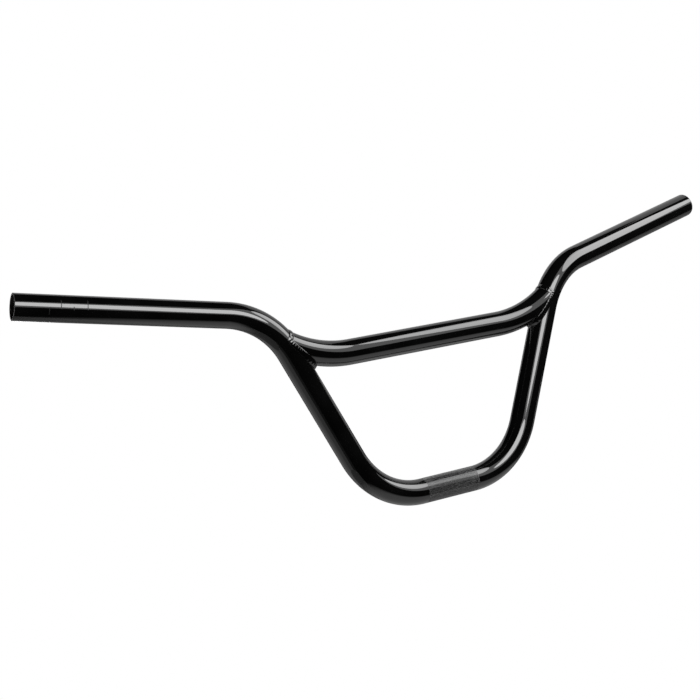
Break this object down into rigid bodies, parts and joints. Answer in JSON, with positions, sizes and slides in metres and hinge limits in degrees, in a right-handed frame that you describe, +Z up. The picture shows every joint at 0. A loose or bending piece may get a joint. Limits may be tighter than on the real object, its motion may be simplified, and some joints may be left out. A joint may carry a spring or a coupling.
{
  "type": "bicycle handlebar",
  "caption": "Freestyle bicycle handlebar: a bent steel tube with a knurled stem clamp, open grip ends and a welded crossbar, gloss black.",
  "frame": {"origin": "centre of the stem clamp, on the main tube's axis", "axes": "+X along the stem clamp towards the right as seen from the front, +Y back towards the rider, +Z up in the plane of the legs"},
  "size_m": [0.7164, 0.0543, 0.2346],
  "materials": {
    "paint": "gloss black paint over steel"
  },
  "bodies": {
    "root": {"main_tube": "paint", "crossbar": "paint", "weld_bead_left": "paint", "weld_bead_right": "paint"}
  },
  "joints": []
}
